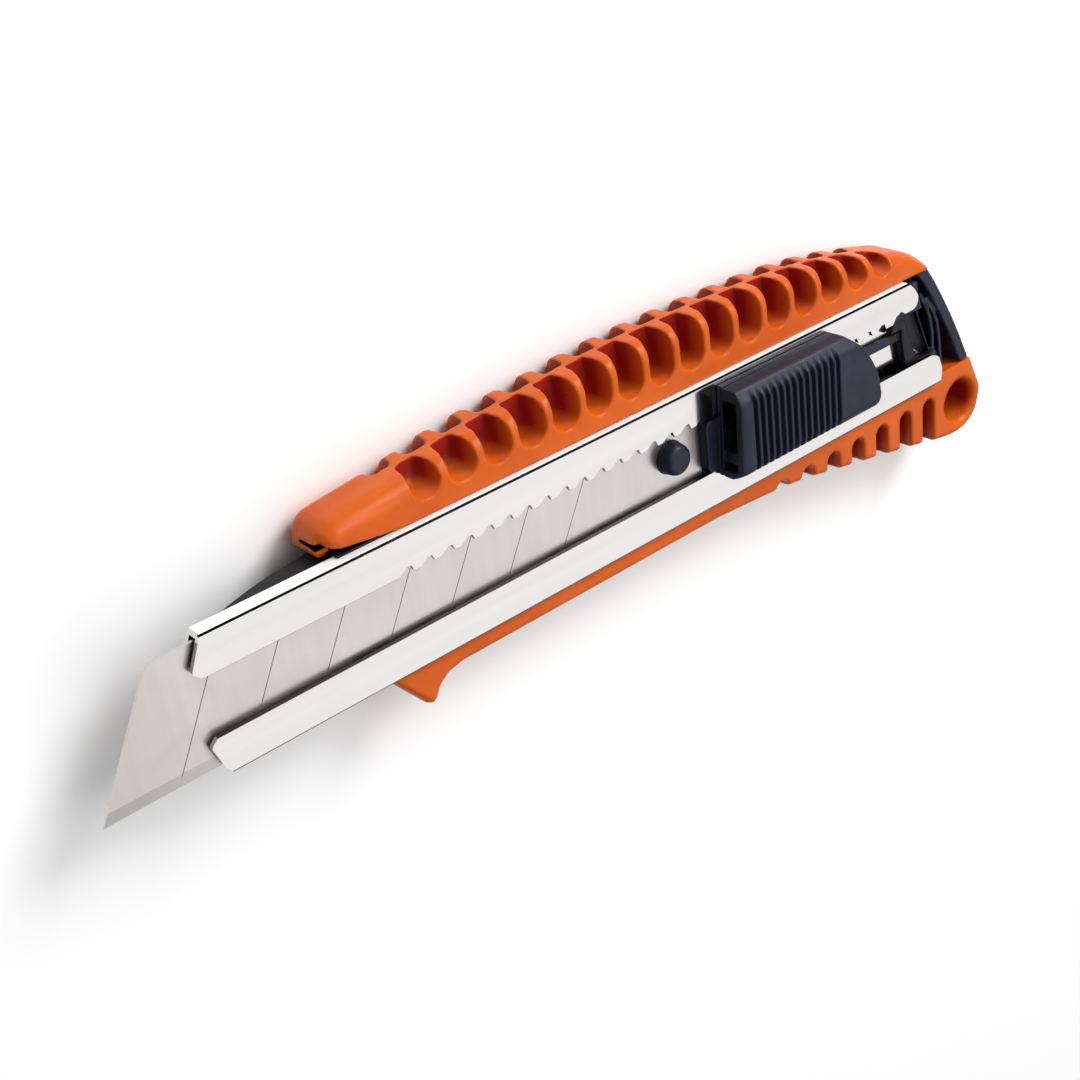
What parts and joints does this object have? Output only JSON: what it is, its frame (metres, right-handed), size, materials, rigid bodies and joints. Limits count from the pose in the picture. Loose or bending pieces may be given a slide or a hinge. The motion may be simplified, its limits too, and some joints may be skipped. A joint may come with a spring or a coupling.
{
  "type": "snap off knife",
  "caption": "Snap-off cutter: scored blade sliding in a notched steel sheath, with an auto-lock thumb button, ribbed grip, finger guard, hang hole and pull-off end cap.",
  "frame": {"origin": "on the grip's flat back, under the blade's centre line, half way along the sheath", "axes": "+X from the blade's tip to the tail, +Y to the ribbed back of the grip, +Z out of the slider's face"},
  "size_m": [0.1671, 0.0421, 0.0166],
  "materials": {
    "orange_plastic": "satin moulded",
    "core_plastic": "satin moulded",
    "sheath_steel": "bright rolled",
    "blade_steel": "fine ground",
    "carrier_plastic": "satin moulded",
    "spring_steel": "blank",
    "button_plastic": "satin moulded",
    "cap_plastic": "satin moulded"
  },
  "bodies": {
    "grip": {"grip_shell": "orange_plastic", "core": "core_plastic", "sheath": "sheath_steel"},
    "slider": {"blade": "blade_steel", "blade_carrier": "carrier_plastic", "lock_spring": "spring_steel"},
    "button": {"thumb_button": "button_plastic"},
    "cap": {"end_cap": "cap_plastic"}
  },
  "joints": [
    {"name": "blade_slide", "type": "slide", "parent": "grip", "child": "slider", "axis": [-1, 0, 0], "range_m": [-0.01667, 0.06333], "deforming": ["lock_spring"]},
    {"name": "button_slide", "type": "slide", "parent": "slider", "child": "button", "axis": [-1, 0, 0], "range_m": [-0.0012, 0.0012], "stiffness_N_per_m": 400},
    {"name": "cap_pull", "type": "slide", "parent": "grip", "child": "cap", "axis": [1, 0, 0], "range_m": [0, 0.032]}
  ]
}
